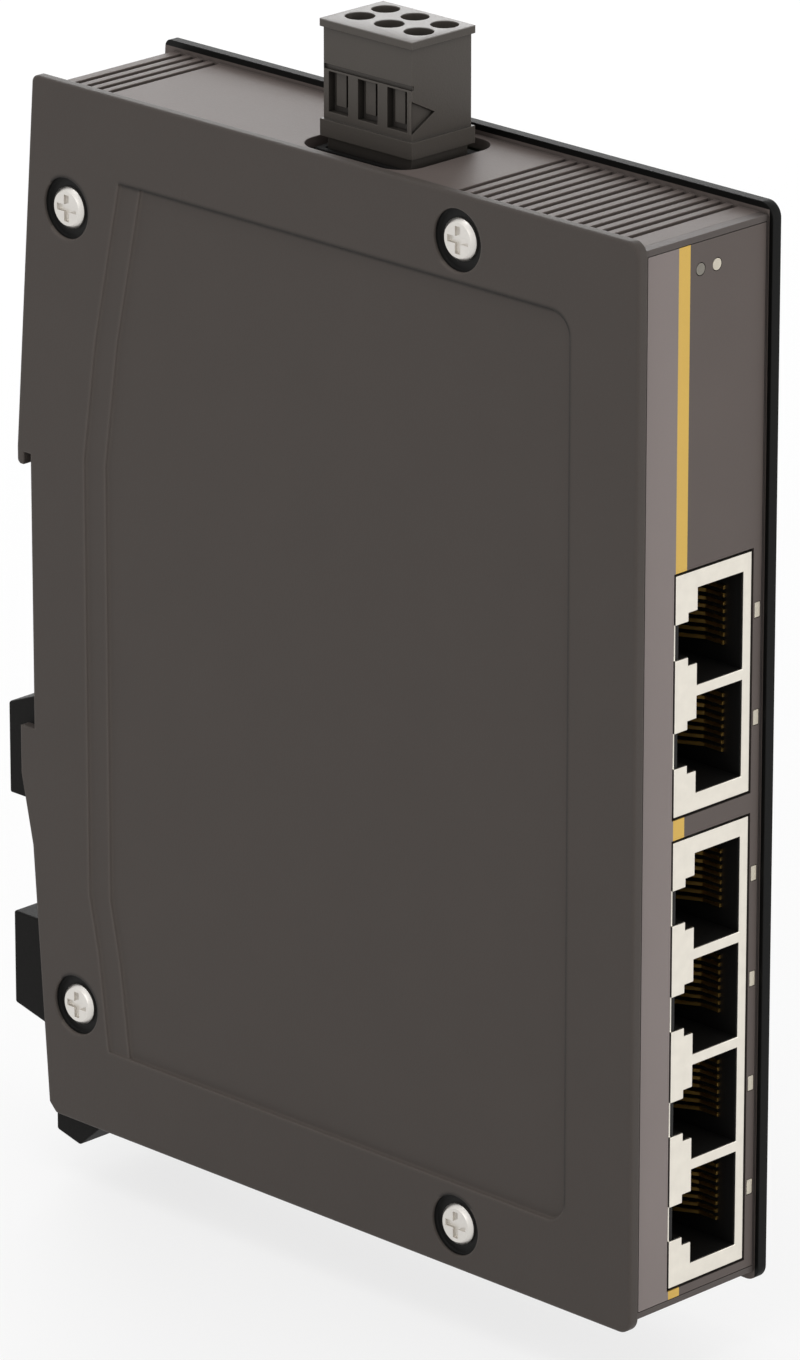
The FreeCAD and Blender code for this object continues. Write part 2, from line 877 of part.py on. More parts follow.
def jack_shield(name):
    """Folded sheet shell round the insulator, its face cut open at each port."""
    low, high = jack_span(name)
    centre, count = JACKS[name]
    sheet = S.shield_sheet
    body = new_body(f"JackShield{name.title()}")
    outline = new_sketch(body, "XY_Plane", low, f"{name}ShieldOutline")
    rear = face + S.jack_depth
    fold = face + sheet + S.lip_return
    draw_outline(outline, [
        (jack_left, face), (jack_right, face), (jack_right, fold),
        (jack_right - sheet, fold), (jack_right - sheet, face + sheet),
        (board_face, face + sheet), (board_face, rear), (jack_left, rear)])
    pad(body, outline, high - low, f"{name}Sheet")
    room = new_sketch(body, "XZ_Plane", -(face + sheet), f"{name}Room")
    draw_outline(room, rectangle((jack_left + sheet, board_face), (low + sheet, high - sheet)))
    pocket(body, room, S.jack_depth - sheet * 2, f"{name}Hollow")
    mouth = new_sketch(body, "XZ_Plane", -face, f"{name}Window")
    draw_outline(mouth, port_profile(port_heights(name)[0], jack_left))
    window = pocket(body, mouth, sheet, f"{name}Opening")
    repeat(body, window, "Z_Axis", S.port_pitch * (count - 1), count, f"{name}Openings")
    return finished(body, f"jack_shield_{name}")


def jack_contacts(name):
    """Eight sprung wires per port, flat on the socket floor then rising."""
    wire = new_body(f"Contact{name.title()}")
    profile = new_sketch(wire, "XY_Plane", 0, f"{name}ContactProfile")
    base = port_right
    thick = S.contact_thickness
    start = face + S.contact_foot
    bend = start + S.contact_foot
    draw_outline(profile, [
        (base, start), (base, bend), (base - S.contact_rise, bend + S.contact_length),
        (base - S.contact_rise - thick, bend + S.contact_length), (base - thick, bend),
        (base - thick, start)])
    pad(wire, profile, S.contact_width, f"{name}Contact")
    offset = S.contact_pitch * 3.5 + S.contact_width / 2
    shapes = []
    for z in port_heights(name):
        for index in range(8):
            height = z - offset + S.contact_pitch * index
            shapes.append(moved(wire, z=height.number))
    return group(f"jack_contacts_{name}", shapes)


def port_light_pipes():
    """Clear bars from the front face to the lights on the board's back."""
    half_x = S.port_light_width / 2
    half_z = S.port_light_height / 2
    bar = block("LightBar", (port_light_x - half_x, port_light_x + half_x),
                (face, board_front - S.latch_gap), (-half_z, half_z))
    return group("port_light_pipes", [moved(bar, z=z.number) for z in port_lights()])


def port_leds():
    half_x = port_light_x - board_back
    chip = block("LightChip", (board_back, board_back + half_x * 2),
                 (board_front, board_front + half_x * 2),
                 (-S.port_light_height / 2.5, S.port_light_height / 2.5))
    return group("port_leds", [moved(chip, z=z.number) for z in port_lights()])


def status_light_guide():
    """One clear moulding: two round fingers on a foot that stands on the board."""
    radius = S.status_light_radius
    rear = face + S.panel_thickness * 3
    height = status_light_z
    fingers = [rod(f"Finger{i}", "y", face, rear, radius, x=x, z=height)
               for i, x in enumerate(status_lights())]
    foot = block("GuideFoot", (status_light_first - radius, board_face - radius),
                 (rear, rear + S.panel_thickness), (height - radius, height + radius))
    stand = block("GuideStand", (board_face - radius * 2, board_face),
                  (rear, rear + S.panel_thickness * 2),
                  (height - radius * 2, height + radius * 2))
    room = block("GuideRoom", (board_face - radius, board_face),
                 (rear + S.wall / 3, rear + S.panel_thickness * 2 - S.wall / 3),
                 (height - radius * 1.5, height + radius * 1.5))
    return finished(cut("StatusGuide", fuse("GuideSolid", fingers + [foot, stand]), [room]),
                    "status_light_guide")


def status_leds():
    radius = S.status_light_radius
    rear = face + S.panel_thickness * 3
    chip = block("StatusChip", (board_face - radius * 0.8, board_face),
                 (rear + S.wall * 0.6, rear + S.wall * 1.4), (-radius * 0.55, radius * 0.55))
    height = status_light_z
    places = (height - radius * 0.75, height + radius * 0.75)
    return group("status_leds", [moved(chip, z=z.number) for z in places])


# ----------------------------------------------------------- power terminal

def poles():
    return [S.power_y + S.pole_pitch * i for i in (-1, 0, 1)]


plug_x = (power_x - S.plug_width / 2, power_x + S.plug_width / 2)
plug_y = (S.power_y - S.pole_pitch * 1.5, S.power_y + S.pole_pitch * 1.5)
nose_half_x = S.nose_width / 2
nose_half_y = S.pole_pitch * 1.5 - S.plug_lip
nose_end = S.plug_seat - S.nose_length
header_top = wall_top - S.header_top_drop
header_low = nose_end - S.latch_gap - S.header_floor
pin_line = header_low + S.header_floor / 2


def power_header():
    """Shrouded header on the board, open upwards under the case's opening."""
    gap = S.nose_gap
    shell = gap + S.header_wall
    floor = header_low + S.header_floor
    outer = block("HeaderBlock", (power_x - nose_half_x - shell, board_face),
                  (S.power_y - nose_half_y - shell, S.power_y + nose_half_y + shell),
                  (header_low, header_top))
    cavity = block("HeaderCavity", (power_x - nose_half_x - gap, power_x + nose_half_x + gap),
                   (S.power_y - nose_half_y - gap, S.power_y + nose_half_y + gap),
                   (floor, header_top))
    holes = []
    for index, y in enumerate(poles()):
        holes += pin_pieces(f"PinHole{index}", y, S.fit_gap / 2)
    return finished(cut("Header", outer, [cavity] + holes), "power_header")


def pin_pieces(name, y, growth):
    """One bent square pin as two blocks: up into the plug, across to the board."""
    half = S.pin_size / 2 + growth
    pin_top = header_low + S.header_floor + S.pin_reach
    tail = board_back + S.pin_size
    return [
        block(f"{name}Up", (power_x - half, power_x + half), (y - half, y + half),
              (pin_line - half, pin_top + growth)),
        block(f"{name}Across", (power_x - half, tail + growth), (y - half, y + half),
              (pin_line - half, pin_line + half)),
    ]


def header_pins():
    pieces = []
    for index, y in enumerate(poles()):
        pin = fuse(f"Pin{index}", pin_pieces(f"Pin{index}", y, as_size(0)))
        pieces.append(moved(pin))
    return group("header_pins", pieces)


def plug_body():
    """Pluggable three-pole terminal: lipped top, side windows, keyed nose."""
    lip = S.plug_lip
    body = new_body("PlugBody")
    block_outline = new_sketch(body, "XY_Plane", S.plug_seat, "PlugOutline")
    draw_outline(block_outline, rectangle(plug_x, plug_y))
    pad(body, block_outline, S.plug_top - S.plug_seat, "PlugBlock")
    lip_outline = new_sketch(body, "XY_Plane", S.plug_top - S.plug_lip_height, "LipOutline")
    draw_outline(lip_outline, rectangle((plug_x[0] - lip, plug_x[1] + lip),
                                        (plug_y[0] - lip, plug_y[1] + lip)))
    pad(body, lip_outline, S.plug_lip_height, "Lip")
    skirt = new_sketch(body, "XY_Plane", S.plug_seat, "SkirtOutline")
    draw_outline(skirt, rectangle((plug_x[0] - lip, plug_x[1] + lip),
                                  (plug_y[0] - lip, plug_y[1] + lip)))
    pad(body, skirt, S.window_sill - S.plug_lip_height, "Skirt")
    nose = new_sketch(body, "XY_Plane", S.plug_seat, "NoseOutline")
    draw_outline(nose, rectangle(
        (power_x - nose_half_x, power_x + nose_half_x),
        (S.power_y - nose_half_y, S.power_y + nose_half_y)))
    pad(body, nose, S.nose_length, "Nose", backwards=True)

    first = poles()[0]
    span = S.pole_pitch * 2
    wire = new_sketch(body, "XY_Plane", S.plug_top, "WireHole")
    draw_circle(wire, power_x + S.wire_row, first, S.wire_hole_radius)
    repeat(body, pocket(body, wire, S.wire_hole_depth, "WireBore"), "Y_Axis", span, 3, "WireBores")
    shaft = new_sketch(body, "XY_Plane", S.plug_top, "ScrewShaft")
    draw_circle(shaft, power_x + S.screw_row, first, S.terminal_screw_radius + S.fit_gap)
    repeat(body, pocket(body, shaft, S.wire_hole_depth, "ScrewBore"), "Y_Axis", span, 3, "ScrewBores")

    (x0, x1), (y0, y1), (z0, z1) = clamp_room()
    room = new_sketch(body, "XY_Plane", z1, "ClampRoom")
    draw_outline(room, rectangle((x0, x1), (y0, y1)))
    repeat(body, pocket(body, room, z1 - z0, "ClampCut"), "Y_Axis", span, 3, "ClampCuts")

    socket = new_sketch(body, "XY_Plane", nose_end, "SocketHole")
    half = contact_half() + S.fit_gap / 2
    draw_outline(socket, rectangle((power_x - half, power_x + half), (first - half, first + half)))
    repeat(body, pocket(body, socket, z0 - nose_end, "SocketCut", backwards=True),
           "Y_Axis", span, 3, "SocketCuts")

    sill = S.plug_seat + S.window_sill
    window = new_sketch(body, "YZ_Plane", plug_x[0], "WindowOutline")
    half_window = S.window_width / 2
    draw_outline(window, rectangle((first - half_window, first + half_window),
                                   (sill, sill + S.window_height)))
    repeat(body, pocket(body, window, S.window_depth, "Window", backwards=True),
           "Y_Axis", span, 3, "Windows")
    hook = new_sketch(body, "YZ_Plane", plug_x[0] + S.window_depth, "HookOutline")
    draw_outline(hook, rectangle((first - half_window / 2, first + half_window / 2),
                                 (sill + half_window / 2, sill + S.window_height)))
    repeat(body, pad(body, hook, S.window_depth / 2, "Hook", backwards=True),
           "Y_Axis", span, 3, "Hooks")
    return finished(body, "plug_body")


def clamp_room():
    """Space for one pole's clamp, under the wire hole and the screw shaft."""
    first = poles()[0]
    high = S.plug_top - S.wire_hole_depth
    half_y = S.wire_hole_radius
    return ((power_x + S.wire_row - S.wire_hole_radius,
             power_x + S.screw_row + S.terminal_screw_radius + S.fit_gap),
            (first - half_y, first + half_y), (high - S.clamp_height, high))


def contact_half():
    return S.pin_size / 2 + S.fit_gap + S.shield_sheet


def plug_clamps():
    """Square steel frames that the terminal screws pull against the wires."""
    (x0, x1), (y0, y1), (z0, z1) = clamp_room()
    play = S.fit_gap
    sheet = S.shield_sheet * 2
    frame = block("ClampBlock", (x0 + play, x1 - play), (y0 + play, y1 - play),
                  (z0 + play, z1 - play))
    hollow = block("ClampHollow", (x0 + sheet + play, x1 - sheet - play), (y0, y1),
                   (z0 + sheet + play, z1 - sheet - play))
    wire = rod("ClampMouth", "z", z1 - sheet * 2, z1, S.wire_hole_radius - sheet / 2,
               x=power_x + S.wire_row, y=poles()[0])
    clamp = cut("Clamp", frame, [hollow, wire])
    return group("plug_clamps", [
        moved(clamp, y=(S.pole_pitch * i).number) for i in range(3)])


def plug_screws():
    """Slotted terminal screws, sunk in their shafts."""
    high = S.plug_top - S.terminal_screw_drop
    low = S.plug_top - S.wire_hole_depth
    x = power_x + S.screw_row
    y = poles()[0]
    head = rod("TerminalHead", "z", low, high, S.terminal_screw_radius, x=x, y=y)
    slot = block("TerminalSlot",
                 (x - S.terminal_screw_radius, x + S.terminal_screw_radius),
                 (y - S.drive_width / 3, y + S.drive_width / 3), (high - S.drive_depth, high))
    screw = cut("TerminalScrew", head, [slot])
    return group("plug_screws", [
        moved(screw, y=(S.pole_pitch * i).number) for i in range(3)])


def plug_contacts():
    """Square spring sockets in the plug's nose, one over each header pin."""
    half = contact_half()
    inner = S.pin_size / 2 + S.fit_gap
    y = poles()[0]
    z0 = clamp_room()[2][0]
    tube = block("SocketTube", (power_x - half, power_x + half), (y - half, y + half),
                 (nose_end + S.shield_sheet, z0))
    bore = block("SocketBore", (power_x - inner, power_x + inner), (y - inner, y + inner),
                 (nose_end, z0 - S.shield_sheet))
    socket = cut("Socket", tube, [bore])
    return group("plug_contacts", [
        moved(socket, y=(S.pole_pitch * i).number) for i in range(3)])


# ------------------------------------------------------------ circuit board

def main_board():
    """Board with its screw holes and the header's pin holes."""
    body = new_body("MainBoard")
    outline = new_sketch(body, "YZ_Plane", board_face, "BoardOutline")
    draw_outline(outline, rectangle((board_front, -S.board_rear),
                                    (bottom + S.board_edge, top - S.board_edge)))
    pad(body, outline, S.board_thickness, "Board")
    holes = new_sketch(body, "YZ_Plane", board_face, "BoardHoles")
    for y, z in BOARD_SCREWS:
        draw_circle(holes, y, z, S.board_screw_radius + S.fit_gap)
    for y, z in COVER_SCREWS[2:]:
        draw_circle(holes, y, z, S.boss_radius + S.post_gap)
    half = S.pin_size / 2 + S.fit_gap
    for y in poles():
        draw_outline(holes, rectangle((y - half, y + half), (pin_line - half, pin_line + half)))
    pocket(body, holes, S.board_thickness, "BoardCuts", backwards=True)
    return finished(body, "main_board")


def board_screws():
    """Flat heads that clamp the board to its standoffs."""
    high, wide = S.board_head_height, S.board_head_radius
    screw = turned_screw("BoardScrew", [(-high, 0), (-high, wide), (0, wide)],
                         S.board_screw_radius - S.fit_gap / 2, S.board_screw_length)
    return group("board_screws", [
        moved(screw, board_face.number, y.number, z.number) for y, z in BOARD_SCREWS])


def board_part(name):
    """Middle (y, z) and length, width and height of a part on the board."""
    back, up, length, width, height = [
        getattr(S, f"{name}_{measure}") for measure in ("back", "up", "length", "width", "height")]
    return face + S.jack_depth + back, up, length, width, height


def chip_block(name):
    y, z, length, width, height = board_part(name)
    return block(f"{name}_block", (board_face - height, board_face),
                 (y - length / 2, y + length / 2), (z - width / 2, z + width / 2))


def port_transformers():
    """One module behind the upper jacks and two behind the lower ones."""
    module = chip_block("port_transformers")
    heights = [double_centre, quad_centre - S.transformer_pitch,
               quad_centre + S.transformer_pitch]
    group("port_transformers", [moved(module, z=z.number) for z in heights])


def bulk_capacitors():
    """Three round cans in a row, one over the other."""
    y, z, length, width, height = board_part("bulk_capacitors")
    can = rod("Can", "x", board_face - height, board_face, length / 2, y=y, z=z)
    group("bulk_capacitors", [
        moved(can, z=(S.capacitor_pitch * i).number) for i in range(3)])


def heat_spreader():
    """Finned block on the switch chip."""
    y, z, length, width, height = board_part("switch_chip")
    foot = board_face - height
    half = S.sink_side / 2
    base = block("SinkBase", (foot - S.sink_base, foot), (y - half, y + half), (z - half, z + half))
    fins = []
    low = z - half
    for i in range(6):
        start = low + S.sink_fin_pitch * i
        fins.append(block(f"Fin{i}", (foot - S.sink_base - S.sink_height, foot - S.sink_base),
                          (y - half, y + half), (start, start + S.sink_fin)))
    return finished(fuse("HeatSpreader", [base] + fins), "heat_spreader")


def components():
    """The parts on the board, from the ports back to the power input."""
    port_transformers()
    bulk_capacitors()
    heat_spreader()
    for name in BOARD_PARTS:
        if name not in ("port_transformers", "bulk_capacitors"):
            finished(chip_block(name), name)


def insulating_film():
    """Sheet on the fixed side, under the board's soldered side."""
    play = S.standoff_radius + S.fit_gap * 5
    sheet = block("FilmSheet", (plate_face - S.film_thickness, plate_face),
                  (board_front + S.wall * 2, -S.board_rear),
                  (bottom + S.board_edge, top - S.board_edge))
    places = [(y, z, play) for y, z in BOARD_SCREWS]
    places += [(y, z, S.boss_radius + S.post_gap) for y, z in COVER_SCREWS[2:]]
    holes = [rod(f"FilmHole{i}", "x", plate_face - S.film_thickness, plate_face, r, y=y, z=z)
             for i, (y, z, r) in enumerate(places)]
    return finished(cut("Film", sheet, holes), "insulating_film")


# ---------------------------------------------------------------- rail latch

def rail_latch():
    """Sprung slider behind the case: catch, guard block and pull foot."""
    back = channel_floor + S.latch_gap
    rear = back + S.latch_thickness
    catch_top = -rail_edge + S.catch_grip
    head_low = catch_top - S.catch_height
    slot = S.rail_sheet + S.rail_slot_gap
    guard_low = -S.guard_top - S.guard_height
    foot_top = wall_bottom - S.latch_gap
    foot_low = bottom - S.foot_drop
    body = new_body("RailLatch")
    half = plate_face - S.latch_gap
    outline = new_sketch(body, "YZ_Plane", cover_face + S.latch_gap, "LatchOutline")
    draw_outline(outline, [
        (back, -rail_edge - S.catch_grip / 2),
        (0, -rail_edge - S.catch_grip / 2),
        (slot, -rail_edge - S.catch_grip / 2),
        (slot, catch_top),
        (S.catch_reach, catch_top - S.catch_ramp),
        (S.catch_reach, head_low),
        (S.hook_reach, head_low),
        (rear, head_low - S.catch_grip),
        (rear, -S.guard_top),
        (S.guard_reach, -S.guard_top),
        (S.guard_reach, guard_low),
        (rear, guard_low - S.catch_grip),
        (rear, foot_low + S.foot_drop / 4),
        (rear - S.foot_drop, foot_low),
        (rear - S.foot_length - S.foot_drop / 2, foot_top),
        (back, foot_top)])
    slider = pad(body, outline, half - cover_face - S.latch_gap, "Slider")

    window = new_sketch(body, "XZ_Plane", -rear, "SpringWindow")
    side = S.post_half_width + S.latch_gap
    draw_outline(window, rectangle(
        (-side, side),
        (-S.latch_window_top - S.latch_window_height, -S.latch_window_top)))
    pocket(body, window, S.latch_thickness, "SpringCut", backwards=True)

    foot = new_sketch(body, "XY_Plane", foot_low, "PrySlot")
    draw_outline(foot, rectangle(
        (-side * 1.5, side * 1.5),
        (back - S.foot_slot * 2, back - S.foot_slot / 2)))
    pocket(body, foot, S.foot_drop + S.rim, "PryCut", backwards=True)

    guard = new_sketch(body, "XZ_Plane", -S.guard_reach, "GuardSlots")
    middle = -S.guard_top - S.guard_height / 2
    for sign in (-1, 1):
        height = middle + sign * S.guard_height / 4
        draw_outline(guard, rectangle((-half * 0.75, half * 0.75),
                                      (height - S.foot_slot, height + S.foot_slot)))
    pocket(body, guard, S.guard_reach - rear, "GuardCuts", backwards=True)
    return finished(body, "rail_latch")


def latch_spring():
    """Square-wire compression spring between the fixed post and the latch."""
    post_top = -S.latch_window_top - S.latch_window_height + S.post_height + S.latch_gap
    wire = S.spring_wire
    length = -S.latch_window_top - post_top - wire
    helix = doc.addObject("Part::Helix", "SpringLine")
    link(helix, "Radius", S.spring_radius)
    link(helix, "Height", length)
    helix.setExpression("Pitch", f"{length.formula} / {S.spring_turns.formula}")
    section = doc.addObject("Part::RegularPolygon", "SpringWire")
    section.Polygon = 4
    section.Placement = FreeCAD.Placement(FreeCAD.Vector(), FreeCAD.Rotation(
        FreeCAD.Vector(1, 0, 0), 90))
    link(section, "Circumradius", wire / 2)
    link(section, "Placement.Base.x", S.spring_radius)
    sweep = doc.addObject("Part::Sweep", "SpringSweep")
    sweep.Sections = [section]
    sweep.Spine = (helix, ["Edge1"])
    sweep.Solid = True
    sweep.Frenet = True
    link(sweep, "Placement.Base.y", channel_floor + S.spring_radius + wire)
    link(sweep, "Placement.Base.z", post_top + wire / 2)
    return finished(sweep, "latch_spring")


# ----------------------------------------------------------------- assembly

def build():
    housing_shell()
    side_cover()
    cover_screws()
    front_panel()
    front_label()
    for name in JACKS:
        jack_body(name)
        jack_shield(name)
        jack_contacts(name)
    port_light_pipes()
    port_leds()
    status_light_guide()
    status_leds()
    power_header()
    header_pins()
    plug_body()
    plug_clamps()
    plug_screws()
    plug_contacts()
    main_board()
    board_screws()
    components()
    insulating_film()
    rail_latch()
    latch_spring()
    doc.recompute()


def check():
    """Every object computed, and every sub-part a valid solid."""
    for item in doc.Objects:
        if "Invalid" in item.State or "Error" in item.State:
            raise RuntimeError(f"{item.Name} ({item.Label}) failed: {item.State}")
    for item in PARTS:
        shape = item.Shape
        if shape.isNull() or not shape.isValid() or not shape.Solids:
            raise RuntimeError(f"{item.Label} has no valid solid")


def write():
    os.makedirs("parts", exist_ok=True)
    for item in PARTS:
        item.Shape.exportStep(f"parts/{item.Label}.step")
        print(f"{item.Label:24s} {len(item.Shape.Solids):3d} solids {item.Shape.Volume:10.1f} mm3")


build()
check()
write()
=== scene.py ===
"""Slim network switch for a mounting rail: finishes, fine edges, small parts, light and camera."""
import json
import math

import bpy
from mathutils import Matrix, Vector


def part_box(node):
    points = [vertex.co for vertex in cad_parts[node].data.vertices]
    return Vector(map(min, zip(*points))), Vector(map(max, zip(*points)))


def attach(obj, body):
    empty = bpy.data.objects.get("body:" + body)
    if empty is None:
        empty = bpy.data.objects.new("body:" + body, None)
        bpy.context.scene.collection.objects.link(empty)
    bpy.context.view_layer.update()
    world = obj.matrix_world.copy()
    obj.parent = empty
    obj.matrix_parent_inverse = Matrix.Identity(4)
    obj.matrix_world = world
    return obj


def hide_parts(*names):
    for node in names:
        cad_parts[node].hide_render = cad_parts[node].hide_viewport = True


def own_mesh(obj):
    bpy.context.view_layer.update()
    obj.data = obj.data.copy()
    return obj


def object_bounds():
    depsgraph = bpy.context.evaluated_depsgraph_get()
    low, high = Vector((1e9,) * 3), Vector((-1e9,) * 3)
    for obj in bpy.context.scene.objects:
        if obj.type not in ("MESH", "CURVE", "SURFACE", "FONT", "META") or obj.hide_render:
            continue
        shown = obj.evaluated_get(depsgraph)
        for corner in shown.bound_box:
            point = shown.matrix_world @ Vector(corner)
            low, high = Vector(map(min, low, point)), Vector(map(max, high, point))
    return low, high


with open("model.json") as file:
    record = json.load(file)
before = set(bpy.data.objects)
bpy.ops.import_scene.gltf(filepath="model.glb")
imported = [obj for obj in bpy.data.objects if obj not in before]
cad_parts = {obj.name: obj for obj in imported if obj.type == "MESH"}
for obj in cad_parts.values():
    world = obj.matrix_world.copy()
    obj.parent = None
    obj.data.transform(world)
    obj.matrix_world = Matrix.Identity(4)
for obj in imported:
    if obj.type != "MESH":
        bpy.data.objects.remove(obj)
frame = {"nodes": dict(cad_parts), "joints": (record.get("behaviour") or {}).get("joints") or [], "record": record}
NODES = frame["nodes"]
CAD_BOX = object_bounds()
MM = 0.001


# ------------------------------------------------------------ shader nodes

class Value:
    """A shader socket that takes part in ordinary arithmetic."""

    def __init__(self, nodes, socket):
        self.nodes = nodes
        self.socket = socket

    def combined(self, operation, first, second):
        return self.nodes.add("ShaderNodeMath", {"operation": operation}, {0: first, 1: second})

    def __add__(self, other):
        return self.combined("ADD", self, other)

    def __radd__(self, other):
        return self.combined("ADD", other, self)

    def __sub__(self, other):
        return self.combined("SUBTRACT", self, other)

    def __rsub__(self, other):
        return self.combined("SUBTRACT", other, self)

    def __mul__(self, other):
        return self.combined("MULTIPLY", self, other)

    def __rmul__(self, other):
        return self.combined("MULTIPLY", other, self)

    def __gt__(self, limit):
        return self.combined("GREATER_THAN", self, limit)

    def __lt__(self, limit):
        return self.combined("LESS_THAN", self, limit)


class Nodes:
    """The node tree of a material or of the sky."""

    def __init__(self, tree):
        self.tree = tree

    def add(self, kind, settings, sockets, output=0):
        """Adds a node: its settings first, then the values or links of its sockets."""
        made = self.tree.nodes.new(kind)
        for name, setting in settings.items():
            setattr(made, name, setting)
        for name, value in sockets.items():
            self.feed(made.inputs[name], value)
        return Value(self, made.outputs[output])

    def feed(self, socket, value):
        if isinstance(value, Value):
            self.tree.links.new(value.socket, socket)
        else:
            socket.default_value = value

    def clamped(self, value):
        return self.add("ShaderNodeClamp", {}, {"Value": value})

    def shown(self):
        """1 for what is seen straight, mirrored or through clear plastic, 0 for light itself."""
        straight, mirrored, through = [
            self.add("ShaderNodeLightPath", {}, {}, output=kind)
            for kind in ("Is Camera Ray", "Is Glossy Ray", "Is Transmission Ray")]
        return self.clamped(straight + mirrored + through)


class Finish(Nodes):
    """A procedural material: one Principled shader and the nodes behind it."""

    def __init__(self, name, **constants):
        self.material = bpy.data.materials.new(name)
        self.material.use_nodes = True
        super().__init__(self.material.node_tree)
        self.shader = self.tree.nodes["Principled BSDF"]
        self.paint(**constants)
        self.place = self.add("ShaderNodeTexCoord", {}, {}, output="Object")

    def paint(self, **channels):
        for socket, value in channels.items():
            self.feed(self.shader.inputs[socket.replace("_", " ")], value)

    def split(self, vector):
        """The X, Y and Z of a place or a direction."""
        return [self.add("ShaderNodeSeparateXYZ", {}, {"Vector": vector}, output=axis)
                for axis in "XYZ"]

    def axes(self):
        """The object's own X, Y and Z, in metres."""
        return self.split(self.place)

    def noise(self, size_mm, detail=2.0, roughness=0.5):
        """Cloudy variation from 0 to 1 with grains of about this size."""
        return self.add("ShaderNodeTexNoise", {}, {
            "Vector": self.place, "Scale": 1.0 / (size_mm * MM),
            "Detail": detail, "Roughness": roughness})

    def eased_normal(self, radius_mm, samples=4):
        """The surface's direction, as if its edges were rounded by this radius."""
        return self.add("ShaderNodeBevel", {"samples": samples}, {"Radius": radius_mm * MM})

    # mask for edges painted lighter: partly wear, partly painted highlight
    def edge_wear_and_highlight(self, radius_mm):
        """0 on flat faces, rising where the surface turns within the radius."""
        flat = self.add("ShaderNodeNewGeometry", {}, {}, output="Normal")
        along = self.add("ShaderNodeVectorMath", {"operation": "DOT_PRODUCT"},
                         {0: self.eased_normal(radius_mm), 1: flat}, output="Value")
        return self.clamped((1.0 - along) * WEAR_AND_HIGHLIGHT_GAIN)

    def openness(self, reach_mm):
        """1 in the open, falling to 0 deep in gaps and corners of this size."""
        return self.add("ShaderNodeAmbientOcclusion", {"samples": 6},
                        {"Distance": reach_mm * MM}, output="AO")

    def blend(self, mask, low, high):
        """Colour low where the mask is 0 and high where it is 1."""
        low_colour, high_colour, mixed = 6, 7, 2
        return self.add("ShaderNodeMix", {"data_type": "RGBA"},
                        {"Factor": mask, low_colour: low, high_colour: high}, output=mixed)

    def relief(self, height, depth_mm, edge_mm=0.0):
        """Bump from a height map, over edges eased by the given radius."""
        sockets = {"Strength": 1.0, "Distance": depth_mm * MM, "Height": height}
        if edge_mm:
            sockets["Normal"] = self.eased_normal(edge_mm)
        self.paint(Normal=self.add("ShaderNodeBump", {}, sockets))


# ------------------------------------------------------- colours and places

def colour(red, green, blue):
    """A colour as it looks on a screen, from 0 to 255, made linear."""
    parts = []
    for part in (red, green, blue):
        share = part / 255.0
        parts.append(share / 12.92 if share <= 0.04045 else ((share + 0.055) / 1.055) ** 2.4)
    return (*parts, 1.0)


def scaled(base, factor):
    """The same colour, that much lighter or darker."""
    return (*[part * factor for part in base[:3]], 1.0)


def middle_of(values):
    return (min(values) + max(values)) / 2


def lens_middle():
    """X halfway between the two status lights, from the points at their front."""
    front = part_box("status_light_guide")[0].y + LENS_DEPTH
    points = [vertex.co for vertex in NODES["status_light_guide"].data.vertices]
    return middle_of([point.x for point in points if point.y < front])


def screw_places():
    """Y and Z of the four cover screws, one from each quarter of the box round them all."""
    low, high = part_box("cover_screws")
    points = [vertex.co for vertex in NODES["cover_screws"].data.vertices]
    places = []
    for rear in (True, False):
        for upper in (True, False):
            own = [point for point in points
                   if (point.y > (low.y + high.y) / 2) == rear
                   and (point.z > (low.z + high.z) / 2) == upper]
            places.append((middle_of([point.y for point in own]),
                           middle_of([point.z for point in own])))
    return places


WHITE = (1.0, 1.0, 1.0, 1.0)
COVER_GREY = colour(73, 67, 63)
WALL_GREY = colour(104, 95, 91)
SEAT_SHADE_BLACK = colour(13, 12, 11)
RIM_BLACK = colour(6, 6, 5)
BAND_MAUVE = colour(133, 123, 120)
STRIPE_YELLOW = colour(220, 181, 90)
FIELD_GREY = colour(92, 83, 79)
PLUG_GREY = colour(79, 74, 69)
PLUG_TOP_SHEEN_GREY = colour(128, 124, 121)
LENS_CREAM = colour(245, 235, 214)

# coats and mouldings: their grain, clouds, eased edges, edges lighter as wear and painted highlight, and shade
# painted dark into gaps
GRAIN_MM = 0.35
CLOUD_MM = 9.0
CLOUD_SHARE = 0.4
GRAIN_DEPTH_MM = 0.02
EDGE_MM = 0.12
WEAR_AND_HIGHLIGHT_GAIN = 4.0
WORN_AND_LIT_FACTOR = 2.2
GAP_SHADE_FACTOR = 0.12
ROUGH_SWING = 0.14

# thin print and plated sheet: finer relief and tighter edges
FINE_DEPTH_MM = 0.006
FINE_EDGE_MM = 0.05

# side cover: its panel, light and shade painted on the panel's steps, and shade painted black into each screw's
# seat
COVER_LOW, COVER_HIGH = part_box("side_cover")
PANEL_Y = (COVER_LOW.y + 9.5 * MM, COVER_HIGH.y - 7.0 * MM)
PANEL_Z = (COVER_LOW.z + 9.0 * MM, COVER_HIGH.z - 9.0 * MM)
STEP_REACH_MM = 0.8
STEP_LIT_FACTOR = 1.6
STEP_SHADY_FACTOR = 0.22
SCREW_PLACES = screw_places()
SEAT_RADIUS = 4.05 * MM
SEAT_DEPTH = CAD_BOX[0].x + 0.4 * MM

# front strip and the plate beside it
STRIP_LOW, STRIP_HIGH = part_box("front_panel")
PLATE_START = STRIP_HIGH.x + 0.05 * MM
PLATE_RIM_FRONT = STRIP_LOW.y - 0.2 * MM
PLATE_RIM_TOP = STRIP_HIGH.z + 0.6 * MM
STRIPE_START = -4.7 * MM
STRIPE_END = -2.7 * MM
STRIPE_WANDER = 0.05 * MM
LENS_DEPTH = 0.3 * MM
LENS_MIDDLE = lens_middle()
LENS_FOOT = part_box("status_light_guide")[0].z - 1.0 * MM
